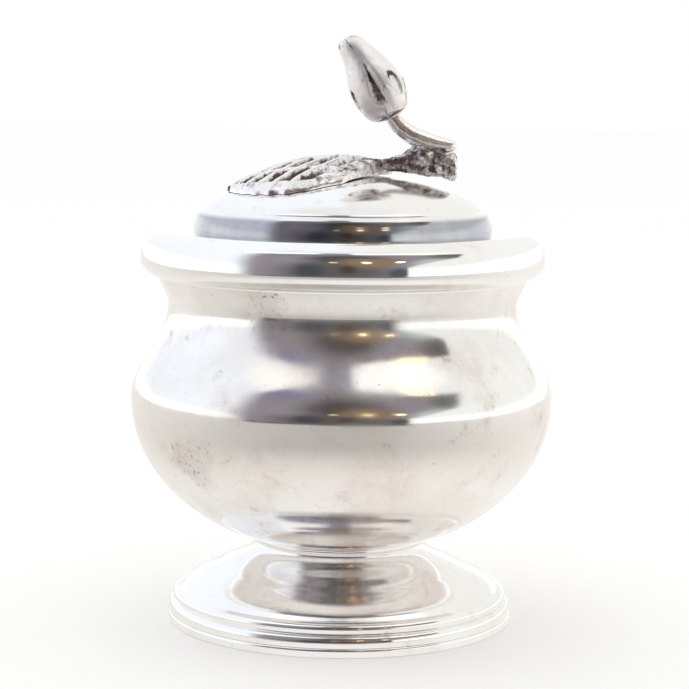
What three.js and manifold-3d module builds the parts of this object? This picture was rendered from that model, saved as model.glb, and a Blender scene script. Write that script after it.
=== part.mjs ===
// Lidded pot in silver plate: a spun bowl on a stepped foot, and a lift-off lid that carries a
// cast leaf, twig and rosebud. Millimetres, +Z up. The origin is the middle of the foot's
// underside, on the table.
import * as THREE from 'three';
import { mergeVertices } from 'three/addons/utils/BufferGeometryUtils.js';
import Module from 'manifold-3d';

const wasm = await Module();
wasm.setup();

// Foot: the spun pedestal with two stepped mouldings
const footHeight = 15.1;
const footWall = 1.0;
const footNeckRadius = 18.6;
const footRadius = 37.5;
const lowerStepHeight = 2.4;
const lowerStepProud = 0.9;
const middleStepHeight = 2.5;
const middleStepProud = 1.9;
const flareTurnRadius = 27.0;
const flareTurnHeight = 9.4;

// Foot ring: the heavy wire that the pot stands on, a little wider than the foot above it
const wireProud = 0.2;
const wireRadius = footRadius + wireProud;
const wireHeight = 2.1;
const wireWidth = 3.4;
const wireRounding = 0.6;

// Collar: the turned ring between foot and bowl
const collarHeight = 1.8;
const collarProud = 0.9;
const collarLedge = 0.6;
const collarRadius = footNeckRadius + collarProud;
const collarBore = footNeckRadius - footWall - collarLedge;

// Bowl: belly, waist and flared mouth. A fullness is the share of its height, or of its width at
// the seat, over which a curve keeps the direction that it starts or ends with.
const bowlHeight = 56.1;
const bowlWall = 1.0;
const bowlSeatMargin = 0.5;
const bowlSeatRadius = collarRadius + bowlSeatMargin;
const bellyRadius = 45.8;
const bellyHeight = 30.1;
const waistRadius = 37.8;
const waistHeight = 50.75;
const mouthFlareRadius = 40.0;
const seatFullness = 0.14;
const bellyFullnessBelow = 0.69;
const bellyFullnessAbove = 0.39;
const waistFullnessBelow = 0.395;
const waistFullnessAbove = 0.17;
const mouthFullness = 0.32;

// Rim band: the hollow moulding round the mouth
const rimHeight = 10.1;
const rimRadius = 43.8;
const rimWall = 1.0;
const rimLip = 0.4;
const rimWidestHeight = 3.5;
const rimFaceHeight = 7.6;
const rimFaceLean = 0.55;
const rimTopDrop = 1.3;
const landWidth = 2.6;

// Mouth collar: the ring in the rim's opening that guides the lid
const mouthRadius = 30.0;
const mouthWall = 1.0;
const mouthDepth = 6.6;
const mouthFlange = 2.0;

// Lid: short band that leans in, rounded shoulder, crease and low dome
const lidOverlap = 1.4;
const lidRadius = mouthRadius + mouthWall + lidOverlap;
const lidWall = 1.0;
const lidBandHeight = 2.5;
const lidBandLean = 0.27;
const shoulderWidth = 1.7;
const shoulderHeight = 2.1;
const creaseWidth = 0.4;
const domeRadius = lidRadius - shoulderWidth - creaseWidth;
const domeRise = 7.8;

// Lid bezel: the ring under the lid that drops into the mouth collar
const bezelWall = 0.8;
const bezelDrop = 4.6;
const bezelFlange = 0.8;
const bezelFlangeLift = 1.0;
const bezelClearance = 0.35;

// Stud, washer and nut that hold the finial on the lid
const studRadius = 1.5;
const studClearance = 0.3;
const studSocketDepth = 1.2;
const studTail = 1.2;
const threadClearance = 0.1;
const washerRadius = 4.6;
const washerThickness = 0.8;
const washerLand = 0.6;
const nutAcrossFlats = 6.0;
const nutThickness = 2.6;

// Leaf: it lies over the dome with its stalk towards +X and its tip towards -X
const leafGap = 0.3;
const leafBaseX = 10.4;
const leafLength = 34.9;
const leafHalfWidth = 24.6;
const leafCrest = 2.9;
const leafEdge = 1.0;
const leafSway = 1.5;
const veinCount = 8;
const veinHeight = 0.75;
const pocketDepth = 0.5;
const crossVein = 0.5;
const crossVeinPlace = 0.43;
const veinSpread = 57;
const veinSpreadAtTip = 42;
const stalkRadius = 1.4;
const stalkLength = 6.0;
const stalkRise = 0.9;

// Twig: a stub with rough bark that grows out of the leaf's stalk. Its lift is the height of its
// middle line over the top of the dome, and the saddle's is over that line.
const twigStartX = 13.0;
const twigLength = 11.4;
const twigLift = 2.4;
const twigDrop = 0.8;
const twigSwell = 1.45;
const twigKnob = 0.1;
const saddleLift = 2.35;

// Stem and bud: the stem rises from the twig and leans with the bud. Both ends are measured from
// where the twig's middle line starts.
const budLean = 29;
const budBack = 2.5;
const budLift = 9.7;
const budLength = 19.8;
const budRadius = 5.75;
const budHook = 1.0;
const budTwist = 16;
const petalCount = 3;
const petalStep = 0.6;
const stemTopRadius = 1.66;
const stemRadius = 2.1;
const stemEndRadius = 1.1;
const stemEndReach = 11.5;
const stemEndLift = 3.7;

// How finely round things are cut
const roundSegments = 36;

// Heights that the pieces stack up to
const footTopZ = wireHeight + footHeight;
const bowlBaseZ = footTopZ + collarHeight;
const rimBaseZ = bowlBaseZ + bowlHeight;
const landZ = rimBaseZ + rimHeight;
const creaseZ = landZ + lidBandHeight + shoulderHeight;
const rimOpening = mouthRadius + mouthWall;
const underLandZ = landZ - rimWall;
const twigStartZ = creaseZ + domeRise + twigLift;
const saddleZ = twigStartZ + saddleLift;
const stemEndX = twigStartX + stemEndReach;

const silver = { color: 0xd8d5ce, metalness: 1, roughness: 0.14 };
const castSilver = { color: 0xc9c5bd, metalness: 1, roughness: 0.28 };
const brass = { color: 0xb79a5c, metalness: 1, roughness: 0.35 };

const pot = new THREE.Group();
const lid = new THREE.Group();
pot.add(lid);

function addPiece(group, name, geometry, finish) {
  const mesh = new THREE.Mesh(geometry, new THREE.MeshStandardMaterial(finish));
  mesh.name = name;
  group.add(mesh);
  return mesh;
}

// A turned piece: the closed outline of its wall, radius against height, spun about +Z. The face
// that shows may be one path, and the face inside another that goes on from its end.
function turned(outline, curveSteps, inside = null, insideSteps = 1) {
  const points = outline.getPoints(curveSteps);
  if (inside) points.push(...inside.getPoints(insideSteps));
  if (THREE.ShapeUtils.isClockWise(points)) points.reverse();
  if (!points[0].equals(points.at(-1))) points.push(points[0].clone());
  const geometry = new THREE.LatheGeometry(points, roundSegments);
  geometry.rotateX(Math.PI / 2);
  return geometry;
}

// Joins and cuts work on solids with shared corners, made from a closed geometry.
function solidOf(geometry) {
  const bare = new THREE.BufferGeometry();
  bare.setAttribute('position', geometry.getAttribute('position'));
  bare.setIndex(geometry.getIndex());
  const merged = mergeVertices(bare, 1e-4);
  return new wasm.Manifold(new wasm.Mesh({
    numProp: 3,
    vertProperties: merged.getAttribute('position').array,
    triVerts: new Uint32Array(merged.getIndex().array),
  }));
}

function geometryOf(solid) {
  const mesh = solid.getMesh();
  const geometry = new THREE.BufferGeometry();
  geometry.setAttribute('position', new THREE.BufferAttribute(mesh.vertProperties, 3));
  geometry.setIndex(new THREE.BufferAttribute(mesh.triVerts, 1));
  geometry.computeVertexNormals();
  return geometry;
}

// A rod along a curve in the XZ plane, whose radius changes on the way: a closed cylinder whose
// rings are laid square to the curve.
function rodAlong(curve, radiusAt, sides, rings, surface = () => 1) {
  const geometry = new THREE.CylinderGeometry(1, 1, 1, sides, rings);
  const position = geometry.getAttribute('position');
  const across = new THREE.Vector3(0, 1, 0);
  for (let i = 0; i < position.count; i++) {
    const t = position.getY(i) + 0.5;
    const centre = curve.getPoint(t);
    const up = new THREE.Vector3().crossVectors(curve.getTangent(t), across);
    const angle = Math.atan2(position.getZ(i), position.getX(i));
    const size = Math.hypot(position.getX(i), position.getZ(i)) * radiusAt(t) * surface(t, angle);
    centre.addScaledVector(across, size * Math.sin(angle));
    centre.addScaledVector(up, size * Math.cos(angle));
    position.setXYZ(i, centre.x, centre.y, centre.z);
  }
  return geometry;
}

// Foot ring: a flat underside, so that the pot stands on a full circle
function footWire() {
  const inner = wireRadius - wireWidth;
  const outline = new THREE.Path();
  outline.moveTo(inner, 0);
  outline.lineTo(wireRadius - wireRounding, 0);
  outline.quadraticCurveTo(wireRadius, 0, wireRadius, wireRounding);
  outline.lineTo(wireRadius, wireHeight - wireRounding);
  outline.quadraticCurveTo(wireRadius, wireHeight, wireRadius - wireRounding, wireHeight);
  outline.lineTo(inner, wireHeight);
  outline.lineTo(inner, 0);
  return turned(outline, 2);
}

// Foot shell: two half-round steps, then a flare that turns from hollow to full on its way out
function footShell() {
  const lowerTop = wireHeight + lowerStepHeight;
  const middleTop = lowerTop + middleStepHeight;
  const lowerInset = footRadius - lowerStepProud;
  const middleInset = footRadius - lowerStepProud - middleStepProud;
  const turnZ = wireHeight + flareTurnHeight;
  const flareSpan = middleInset - flareTurnRadius;
  const neckSpan = flareTurnRadius - footNeckRadius;
  const outline = new THREE.Path();
  outline.moveTo(footRadius - footWall, wireHeight);
  outline.lineTo(footRadius, wireHeight);
  outline.bezierCurveTo(footRadius, lowerTop - 0.4, lowerInset + 0.5, lowerTop,
    lowerInset - 0.3, lowerTop);
  outline.bezierCurveTo(lowerInset + 0.5, middleTop - 0.9, lowerInset - 0.4, middleTop,
    middleInset, middleTop);
  outline.lineTo(middleInset - 0.3, middleTop + 0.3);
  outline.bezierCurveTo(middleInset - 0.2 * flareSpan, middleTop + 1.9,
    flareTurnRadius + 0.45 * flareSpan, turnZ - 1.5, flareTurnRadius, turnZ);
  outline.bezierCurveTo(flareTurnRadius - 0.48 * neckSpan, turnZ + 1.8,
    footNeckRadius, footTopZ - 2.4, footNeckRadius, footTopZ);
  const inside = new THREE.Path();
  inside.moveTo(footNeckRadius - footWall, footTopZ);
  inside.bezierCurveTo(footNeckRadius - footWall, footTopZ - 2.7,
    flareTurnRadius - 0.55 * neckSpan, turnZ + 0.8,
    flareTurnRadius - 0.4 * footWall, turnZ - footWall);
  inside.bezierCurveTo(flareTurnRadius + 0.4 * flareSpan, turnZ - 1.4 - footWall,
    middleInset - 0.35 * flareSpan, middleTop + 0.9, middleInset - footWall, middleTop - 0.8);
  inside.lineTo(lowerInset - footWall, lowerTop - 0.9);
  return turned(outline, 4, inside, 2);
}

// Foot collar: a half-round ring with flat faces above and below
function footCollar() {
  const edge = 0.35;
  const outline = new THREE.Path();
  outline.moveTo(collarBore, footTopZ);
  outline.lineTo(collarRadius - 2 * edge, footTopZ);
  outline.lineTo(collarRadius - 2 * edge, footTopZ + edge);
  outline.quadraticCurveTo(collarRadius + 1.5 * edge, (footTopZ + bowlBaseZ + edge) / 2,
    collarRadius - edge, bowlBaseZ);
  outline.lineTo(collarBore, bowlBaseZ);
  outline.lineTo(collarBore, footTopZ);
  return turned(outline, 2);
}

// Body: the inset gives the inner face the same curves as the outer one, a wall further in
function bowlCurves(outline, inset, upwards) {
  const baseZ = bowlBaseZ + inset;
  const bellyZ = bowlBaseZ + bellyHeight;
  const waistZ = bowlBaseZ + waistHeight;
  const belly = bellyRadius - inset;
  const waist = waistRadius - inset;
  const mouth = mouthFlareRadius - inset;
  const below = bellyZ - baseZ;
  const between = waistZ - bellyZ;
  const above = rimBaseZ - waistZ;
  const seatHandle = bowlSeatRadius + seatFullness * (belly - bowlSeatRadius);
  const curves = [
    [[bowlSeatRadius, baseZ], [seatHandle, baseZ],
      [belly, bellyZ - bellyFullnessBelow * below], [belly, bellyZ]],
    [[belly, bellyZ], [belly, bellyZ + bellyFullnessAbove * between],
      [waist, waistZ - waistFullnessBelow * between], [waist, waistZ]],
    [[waist, waistZ], [waist, waistZ + waistFullnessAbove * above],
      [mouth - mouthFullness * (mouth - waist), rimBaseZ - mouthFullness * above], [mouth, rimBaseZ]],
  ];
  const run = upwards ? curves : curves.reverse().map((curve) => curve.reverse());
  for (const [start, firstHandle, secondHandle, end] of run) {
    if (outline.currentPoint.x !== start[0]) outline.lineTo(...start);
    outline.bezierCurveTo(...firstHandle, ...secondHandle, ...end);
  }
}

function bodyShell() {
  const outside = new THREE.Path();
  outside.moveTo(0, bowlBaseZ);
  bowlCurves(outside, 0, true);
  const inside = new THREE.Path();
  inside.moveTo(mouthFlareRadius - bowlWall, rimBaseZ);
  bowlCurves(inside, bowlWall, false);
  inside.lineTo(0, bowlBaseZ + bowlWall);
  return turned(outside, 6, inside, 4);
}

// Rim band: a lip on the bowl's mouth, a round underside, a face that leans in on its way up, and
// a top that slopes up to the flat land where the lid sits
function rimBand() {
  const inner = mouthFlareRadius - bowlWall;
  const lip = mouthFlareRadius + rimLip;
  const widestZ = rimBaseZ + rimWidestHeight;
  const faceTopZ = rimBaseZ + rimFaceHeight;
  const faceTop = rimRadius - rimFaceLean;
  const topEdge = landZ - rimTopDrop;
  const landEdge = rimOpening + landWidth;
  const outside = new THREE.Path();
  outside.moveTo(inner, rimBaseZ);
  outside.lineTo(lip - 0.2, rimBaseZ);
  outside.lineTo(lip, rimBaseZ + 0.3);
  outside.bezierCurveTo(rimRadius - 0.9, rimBaseZ + 0.9, rimRadius, widestZ - 1.2,
    rimRadius, widestZ);
  outside.bezierCurveTo(rimRadius, widestZ + 1.8, faceTop + 0.25, faceTopZ - 0.7,
    faceTop, faceTopZ);
  outside.bezierCurveTo(faceTop - 0.15, faceTopZ + 0.5, faceTop - 0.4, topEdge - 0.1,
    rimRadius - 1.5, topEdge);
  outside.lineTo(landEdge, landZ);
  outside.lineTo(rimOpening, landZ);
  const inside = new THREE.Path();
  inside.moveTo(rimOpening, underLandZ);
  inside.lineTo(landEdge, underLandZ);
  inside.lineTo(rimRadius - 2.1, topEdge - rimWall);
  inside.lineTo(rimRadius - 1.2, faceTopZ - rimWall);
  inside.lineTo(rimRadius - rimWall, widestZ);
  inside.quadraticCurveTo(rimRadius - 1.3, widestZ - 1.8, inner + 0.9, rimBaseZ + 1.4);
  inside.lineTo(inner, rimBaseZ + 1.3);
  return turned(outside, 3, inside, 3);
}

// Mouth collar: a tube that fills the rim's opening, with a flange against the rim's underside
function mouthCollar() {
  const flange = rimOpening + mouthFlange;
  const outline = new THREE.Path();
  outline.moveTo(mouthRadius, landZ - mouthDepth);
  outline.lineTo(rimOpening, landZ - mouthDepth);
  outline.lineTo(rimOpening, underLandZ - mouthWall);
  outline.lineTo(flange, underLandZ - mouthWall);
  outline.lineTo(flange, underLandZ);
  outline.lineTo(rimOpening, underLandZ);
  outline.lineTo(rimOpening, landZ);
  outline.lineTo(mouthRadius + 0.3, landZ);
  outline.lineTo(mouthRadius, landZ - 0.3);
  outline.lineTo(mouthRadius, landZ - mouthDepth);
  return turned(outline, 1);
}

// Height of the lid's dome above the table at a distance from its axis
function domeZ(radius) {
  return creaseZ + domeRise * Math.sqrt(Math.max(0, 1 - (radius / domeRadius) ** 2));
}

// Height of the dome's inner face
function underDomeZ(radius) {
  const share = radius / (domeRadius - lidWall);
  return creaseZ - lidWall + domeRise * Math.sqrt(Math.max(0, 1 - share ** 2));
}

const lidHole = studRadius + studClearance;
const washerSeat = washerRadius + washerLand;
const washerTopZ = underDomeZ(washerSeat);

function lidShell() {
  const shoulder = domeRadius + creaseWidth;
  const bandTop = landZ + lidBandHeight;
  const startAngle = Math.acos(lidHole / domeRadius);
  const underAngle = Math.acos(washerSeat / (domeRadius - lidWall));
  const inner = lidRadius - lidWall;
  const outline = new THREE.Path();
  outline.moveTo(lidHole, domeZ(lidHole));
  outline.absellipse(0, creaseZ, domeRadius, domeRise, startAngle, 0, true);
  outline.lineTo(shoulder, creaseZ);
  outline.bezierCurveTo(lidRadius - 1, creaseZ - 0.35, lidRadius - 1.5 * lidBandLean, bandTop + 0.6,
    lidRadius - lidBandLean, bandTop);
  outline.bezierCurveTo(lidRadius - lidBandLean / 2, bandTop - 0.6, lidRadius, landZ + 0.9,
    lidRadius, landZ);
  const inside = new THREE.Path();
  inside.moveTo(inner, landZ);
  inside.lineTo(inner, bandTop);
  inside.lineTo(domeRadius - lidWall / 2, creaseZ - lidWall);
  inside.absellipse(0, creaseZ - lidWall, domeRadius - lidWall, domeRise, 0, underAngle, false);
  inside.lineTo(lidHole, washerTopZ);
  return turned(outline, 4, inside, 3);
}

// Lid bezel: a flange soldered in the lid's band, and a tube that drops into the mouth
function lidBezel() {
  const outer = mouthRadius - bezelClearance;
  const inner = outer - bezelWall;
  const flange = lidRadius - lidWall;
  const flangeZ = landZ + bezelFlangeLift;
  const outline = new THREE.Path();
  outline.moveTo(inner, landZ - bezelDrop);
  outline.lineTo(outer - 0.3, landZ - bezelDrop);
  outline.lineTo(outer, landZ - bezelDrop + 0.5);
  outline.lineTo(outer, flangeZ);
  outline.lineTo(flange, flangeZ);
  outline.lineTo(flange, flangeZ + bezelFlange);
  outline.lineTo(inner, flangeZ + bezelFlange);
  outline.lineTo(inner, landZ - bezelDrop);
  return turned(outline, 1);
}

// Stud, washer and nut, one under the other at the middle of the lid
const studTopZ = domeZ(0) + leafGap + studSocketDepth;
const nutTopZ = washerTopZ - washerThickness;

function finialStud() {
  const length = studTopZ - (nutTopZ - nutThickness - studTail);
  const geometry = new THREE.CylinderGeometry(studRadius, studRadius, length, 20);
  geometry.rotateX(Math.PI / 2);
  geometry.translate(0, 0, studTopZ - length / 2);
  return geometry;
}

function finialWasher() {
  const outline = new THREE.Path();
  outline.moveTo(lidHole, nutTopZ);
  outline.lineTo(washerRadius, nutTopZ);
  outline.lineTo(washerRadius, washerTopZ);
  outline.lineTo(lidHole, washerTopZ);
  outline.lineTo(lidHole, nutTopZ);
  return turned(outline, 1);
}

function finialNut() {
  const corner = nutAcrossFlats / 2 / Math.cos(Math.PI / 6);
  const outline = new THREE.Shape();
  for (let side = 0; side < 6; side++) {
    const angle = side * Math.PI / 3;
    const point = [corner * Math.cos(angle), corner * Math.sin(angle)];
    if (side === 0) outline.moveTo(...point);
    else outline.lineTo(...point);
  }
  const bore = new THREE.Path();
  bore.absarc(0, 0, studRadius + threadClearance, 0, 2 * Math.PI, true);
  outline.holes.push(bore);
  const geometry = new THREE.ExtrudeGeometry(outline, {
    depth: nutThickness, bevelEnabled: false, curveSegments: 10,
  });
  geometry.translate(0, 0, nutTopZ - nutThickness);
  return geometry;
}

// Leaf outline: how far a side vein reaches from the midrib, at a share of the midrib's length
function veinReach(share) {
  const widest = 0.2;
  if (share < widest) return leafHalfWidth * (1 - 0.22 * ((widest - share) / widest) ** 2);
  return Math.max(0.7, leafHalfWidth * (1 - ((share - widest) / (1 - widest)) ** 1.6));
}

// Leaf thickness: a crest along the midrib that thins towards the tip and the margin. Narrow
// ribs stand on the side veins, and a cross rib parts the deep pockets between them.
function leafThickness(share, across) {
  const towardsTip = Math.max(0, (share - 0.3) / 0.7) ** 2.6;
  const crest = leafEdge + (leafCrest - leafEdge) * (1 - towardsTip);
  const arch = leafEdge + (crest - leafEdge) * (1 - across) ** 1.3;
  const tipThinning = 1 - 0.55 * towardsTip;
  const vein = (0.5 + 0.5 * Math.cos(2 * Math.PI * veinCount * share)) ** 1.5;
  const cross = crossVein * Math.max(0, 1 - Math.abs(across - crossVeinPlace) / 0.13);
  const rib = Math.max(vein, cross);
  const fade = Math.sin(Math.PI * Math.min(1, 0.14 + 0.86 * across)) ** 0.4;
  return (arch + (veinHeight * rib - pocketDepth * (1 - rib)) * fade) * tipThinning;
}

// Leaf: a plate whose rows run out along the side veins, laid over the dome. The margin is
// scalloped because a vein reaches further than the furrow beside it.
function leafPlate() {
  const rows = veinCount * 5;
  const columns = 14;
  const geometry = new THREE.BoxGeometry(1, 1, 1, rows, columns, 1);
  const position = geometry.getAttribute('position');
  for (let i = 0; i < position.count; i++) {
    const share = 0.5 - position.getX(i);
    const side = 2 * position.getY(i);
    const across = Math.abs(side);
    const spread = THREE.MathUtils.degToRad(
      THREE.MathUtils.lerp(veinSpread, veinSpreadAtTip, share ** 2));
    const scallop = 1 + 0.03 * Math.cos(2 * Math.PI * veinCount * share);
    const reach = across * veinReach(share) * scallop;
    const x = leafBaseX - share * leafLength - reach * Math.cos(spread);
    const y = Math.sign(side) * reach * Math.sin(spread) - leafSway * share;
    const lift = position.getZ(i) > 0 ? leafThickness(share, across) : 0;
    position.setXYZ(i, x, y, domeZ(Math.hypot(x, y)) + leafGap + lift);
  }
  return geometry;
}

function leaf() {
  const stalkLine = new THREE.LineCurve3(
    new THREE.Vector3(twigStartX - stalkLength, 0, twigStartZ - stalkRise),
    new THREE.Vector3(twigStartX, 0, twigStartZ),
  );
  const stalk = rodAlong(stalkLine, () => stalkRadius, 12, 1);
  flattenEnd(stalk, twigStartX);
  const socket = new THREE.CylinderGeometry(studRadius + threadClearance,
    studRadius + threadClearance, 2 * studSocketDepth + leafGap, 20);
  socket.rotateX(Math.PI / 2);
  socket.translate(0, 0, studTopZ - studSocketDepth - leafGap / 2);
  return geometryOf(solidOf(leafPlate()).add(solidOf(stalk)).subtract(solidOf(socket)));
}

// The last ring of a rod is squared off at a plane of constant X
function flattenEnd(geometry, x) {
  const position = geometry.getAttribute('position');
  for (let i = 0; i < position.count; i++) {
    if (Math.abs(position.getX(i) - x) < 1) position.setX(i, x);
  }
}

// A block that takes away what lies above or below the saddle where the stem lies on the twig
function saddleBlock(above) {
  const size = 60;
  const block = new THREE.BoxGeometry(size, size, size);
  block.translate(stemEndX, 0, saddleZ + (above ? size / 2 : -size / 2));
  return solidOf(block);
}

// Twig: it swells quickly from the stalk, droops to its sawn end and has knobs all over its bark
function twig() {
  const line = new THREE.LineCurve3(
    new THREE.Vector3(twigStartX, 0, 0),
    new THREE.Vector3(twigStartX + twigLength, 0, 0),
  );
  const radiusAt = (t) => stalkRadius + twigSwell * Math.sin(Math.PI * Math.min(t * 1.25, 0.5 + t * 0.1));
  const bark = (t, angle) => 1 + twigKnob * Math.sin(3 * angle + 5 * t) * Math.sin(3 * Math.PI * t);
  const rod = rodAlong(line, radiusAt, 14, 9, bark);
  const position = rod.getAttribute('position');
  for (let i = 0; i < position.count; i++) {
    const t = (position.getX(i) - twigStartX) / twigLength;
    const arch = 0.45 * Math.sin(Math.PI * t) - twigDrop * t * t;
    position.setZ(i, position.getZ(i) + twigStartZ + arch);
  }
  return geometryOf(solidOf(rod).subtract(saddleBlock(true)));
}

// Bud and stem share one direction where they meet, so their end faces lie flat together
const lean = THREE.MathUtils.degToRad(budLean);
const budAxis = new THREE.Vector3(-Math.sin(lean), 0, Math.cos(lean));
const budBase = new THREE.Vector3(twigStartX - budBack, 0, twigStartZ + budLift);

function budStem() {
  const end = new THREE.Vector3(stemEndX, 0, twigStartZ + stemEndLift);
  const handle = budBase.clone().addScaledVector(budAxis, -4.0);
  const endHandle = new THREE.Vector3(stemEndX - 7.0, 0, end.z + 0.2);
  const curve = new THREE.CubicBezierCurve3(budBase, handle, endHandle, end);
  const radiusAt = (t) => (t < 0.5
    ? THREE.MathUtils.lerp(stemTopRadius, stemRadius, t * 2)
    : THREE.MathUtils.lerp(stemRadius, stemEndRadius, (t * 2 - 1) ** 2));
  return geometryOf(solidOf(rodAlong(curve, radiusAt, 14, 14)).subtract(saddleBlock(false)));
}

// Bud: a full base that narrows to a blunt, slightly hooked tip. Each petal's free edge stands
// proud of the next one, and the edges turn round the bud on their way up.
function bud() {
  const profile = new THREE.SplineCurve([
    new THREE.Vector2(stemTopRadius, 0),
    new THREE.Vector2(0.78 * budRadius, 0.09 * budLength),
    new THREE.Vector2(budRadius, 0.31 * budLength),
    new THREE.Vector2(0.92 * budRadius, 0.52 * budLength),
    new THREE.Vector2(0.66 * budRadius, 0.75 * budLength),
    new THREE.Vector2(0.48 * budRadius, 0.92 * budLength),
    new THREE.Vector2(0.3 * budRadius, budLength),
  ]);
  const outline = [new THREE.Vector2(0, 0)];
  outline.push(...profile.getPoints(13));
  outline.push(new THREE.Vector2(0.15 * budRadius, 0.97 * budLength));
  outline.push(new THREE.Vector2(0, 0.94 * budLength));
  const geometry = new THREE.LatheGeometry(outline, petalCount * 12);
  geometry.rotateX(Math.PI / 2);
  const position = geometry.getAttribute('position');
  const petalSweep = 2 * Math.PI / petalCount;
  const firstSeam = THREE.MathUtils.degToRad(-82);
  for (let i = 0; i < position.count; i++) {
    const height = position.getZ(i) / budLength;
    const radius = Math.hypot(position.getX(i), position.getY(i));
    const angle = Math.atan2(position.getY(i), position.getX(i)) + 2 * Math.PI + 1e-6;
    const underPetal = (angle % petalSweep) / petalSweep;
    const relief = petalStep * (0.5 - underPetal) * Math.sin(Math.PI * Math.min(1, height * 1.02));
    const turn = angle + firstSeam - THREE.MathUtils.degToRad(budTwist) * height;
    const size = radius > stemTopRadius ? radius + relief : radius;
    const hook = -budHook * (Math.max(0, height - 0.6) / 0.4) ** 2;
    position.setXYZ(i, size * Math.cos(turn) + hook, size * Math.sin(turn), position.getZ(i));
  }
  geometry.rotateY(-lean);
  geometry.translate(...budBase);
  geometry.computeVertexNormals();
  return geometry;
}

addPiece(pot, 'foot_wire', footWire(), silver);
addPiece(pot, 'foot_shell', footShell(), silver);
addPiece(pot, 'foot_collar', footCollar(), silver);
addPiece(pot, 'body_shell', bodyShell(), silver);
addPiece(pot, 'rim_band', rimBand(), silver);
addPiece(pot, 'mouth_collar', mouthCollar(), silver);
addPiece(lid, 'lid_shell', lidShell(), silver);
addPiece(lid, 'lid_bezel', lidBezel(), silver);
addPiece(lid, 'leaf', leaf(), castSilver);
addPiece(lid, 'twig', twig(), castSilver);
addPiece(lid, 'bud_stem', budStem(), castSilver);
addPiece(lid, 'bud', bud(), castSilver);
addPiece(lid, 'finial_stud', finialStud(), brass);
addPiece(lid, 'finial_washer', finialWasher(), brass);
addPiece(lid, 'finial_nut', finialNut(), brass);

export default pot;
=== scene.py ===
"""Lidded pot in silver plate: a spun bowl on a stepped foot, and a lift-off lid that carries a cast
leaf, twig and rosebud. The sections follow the pot from the table upwards, in metres."""

import math

import bmesh
import bpy
from mathutils import Matrix, Vector, noise
from mathutils.geometry import interpolate_bezier


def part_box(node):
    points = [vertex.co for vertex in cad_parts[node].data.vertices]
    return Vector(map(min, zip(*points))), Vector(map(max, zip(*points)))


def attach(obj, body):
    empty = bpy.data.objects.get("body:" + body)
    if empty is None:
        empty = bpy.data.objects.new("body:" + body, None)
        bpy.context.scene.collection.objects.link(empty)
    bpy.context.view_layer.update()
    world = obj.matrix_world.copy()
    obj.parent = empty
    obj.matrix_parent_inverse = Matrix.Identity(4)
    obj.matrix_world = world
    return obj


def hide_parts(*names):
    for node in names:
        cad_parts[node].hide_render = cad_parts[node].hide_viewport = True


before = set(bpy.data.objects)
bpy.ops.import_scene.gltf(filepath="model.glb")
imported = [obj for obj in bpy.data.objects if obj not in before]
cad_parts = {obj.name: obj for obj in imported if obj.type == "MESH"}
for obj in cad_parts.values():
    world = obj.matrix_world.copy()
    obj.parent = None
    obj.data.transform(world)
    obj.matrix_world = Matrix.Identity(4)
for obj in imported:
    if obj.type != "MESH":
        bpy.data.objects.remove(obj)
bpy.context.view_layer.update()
mm = 0.001

# Camera: a long lens a little above the lid, tipped down to the middle of the belly. The picture
# is turned a little, as the photograph is.
camera_height = 115.6 * mm
camera_distance = 462 * mm
camera_aside = -0.06 * mm
camera_tip = math.radians(6.83)
camera_roll = math.radians(-0.65)
camera_data = bpy.data.cameras.new("camera")
camera_data.lens = 111.3
camera_data.sensor_width = 36
camera = bpy.data.objects.new("camera", camera_data)
camera.rotation_mode = "XYZ"
camera.rotation_euler = (math.radians(90) - camera_tip, camera_roll, 0)
camera.location = (camera_aside, -camera_distance, camera_height)
bpy.context.scene.collection.objects.link(camera)
bpy.context.scene.camera = camera
bpy.context.scene.view_settings.view_transform = "Standard"


# Surroundings: a pale paper floor under an even white sky. The polished metal mirrors a wide
# shell that stands round all of it: white, and brightest low down at each side, with a dark room
# open towards the front. A dim flue rises from that room, in which three small warm lamps hang.
def node_links(material, shader_type):
    """The nodes, the linking function and the one shader of a fresh material."""
    material.use_nodes = True
    nodes = material.node_tree.nodes
    nodes.clear()
    output = nodes.new("ShaderNodeOutputMaterial")
    shader = nodes.new(shader_type)
    material.node_tree.links.new(shader.outputs[0], output.inputs["Surface"])
    return nodes, material.node_tree.links.new, shader


def stage_piece(name, bm, material):
    """A mesh that only stands round the pot."""
    mesh = bpy.data.meshes.new(name)
    bm.to_mesh(mesh)
    bm.free()
    mesh.materials.append(material)
    piece = bpy.data.objects.new(name, mesh)
    bpy.context.scene.collection.objects.link(piece)
    return piece


def mirrored_only(piece):
    """A stage piece that the metal mirrors, and that neither shows nor lights anything."""
    piece.visible_camera = False
    piece.visible_diffuse = False
    piece.visible_shadow = False


paper = bpy.data.materials.new("floor_paper")
nodes, link, shader = node_links(paper, "ShaderNodeBsdfPrincipled")
shader.inputs["Base Color"].default_value = (0.92, 0.92, 0.92, 1)
shader.inputs["Roughness"].default_value = 1
shader.inputs["Specular IOR Level"].default_value = 0
shader.inputs["Emission Color"].default_value = (1, 1, 1, 1)
shader.inputs["Emission Strength"].default_value = 0.14
floor_reach = 6.0
floor_mesh = bmesh.new()
bmesh.ops.create_circle(floor_mesh, cap_ends=True, segments=96, radius=floor_reach)
stage_piece("floor", floor_mesh, paper)

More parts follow.
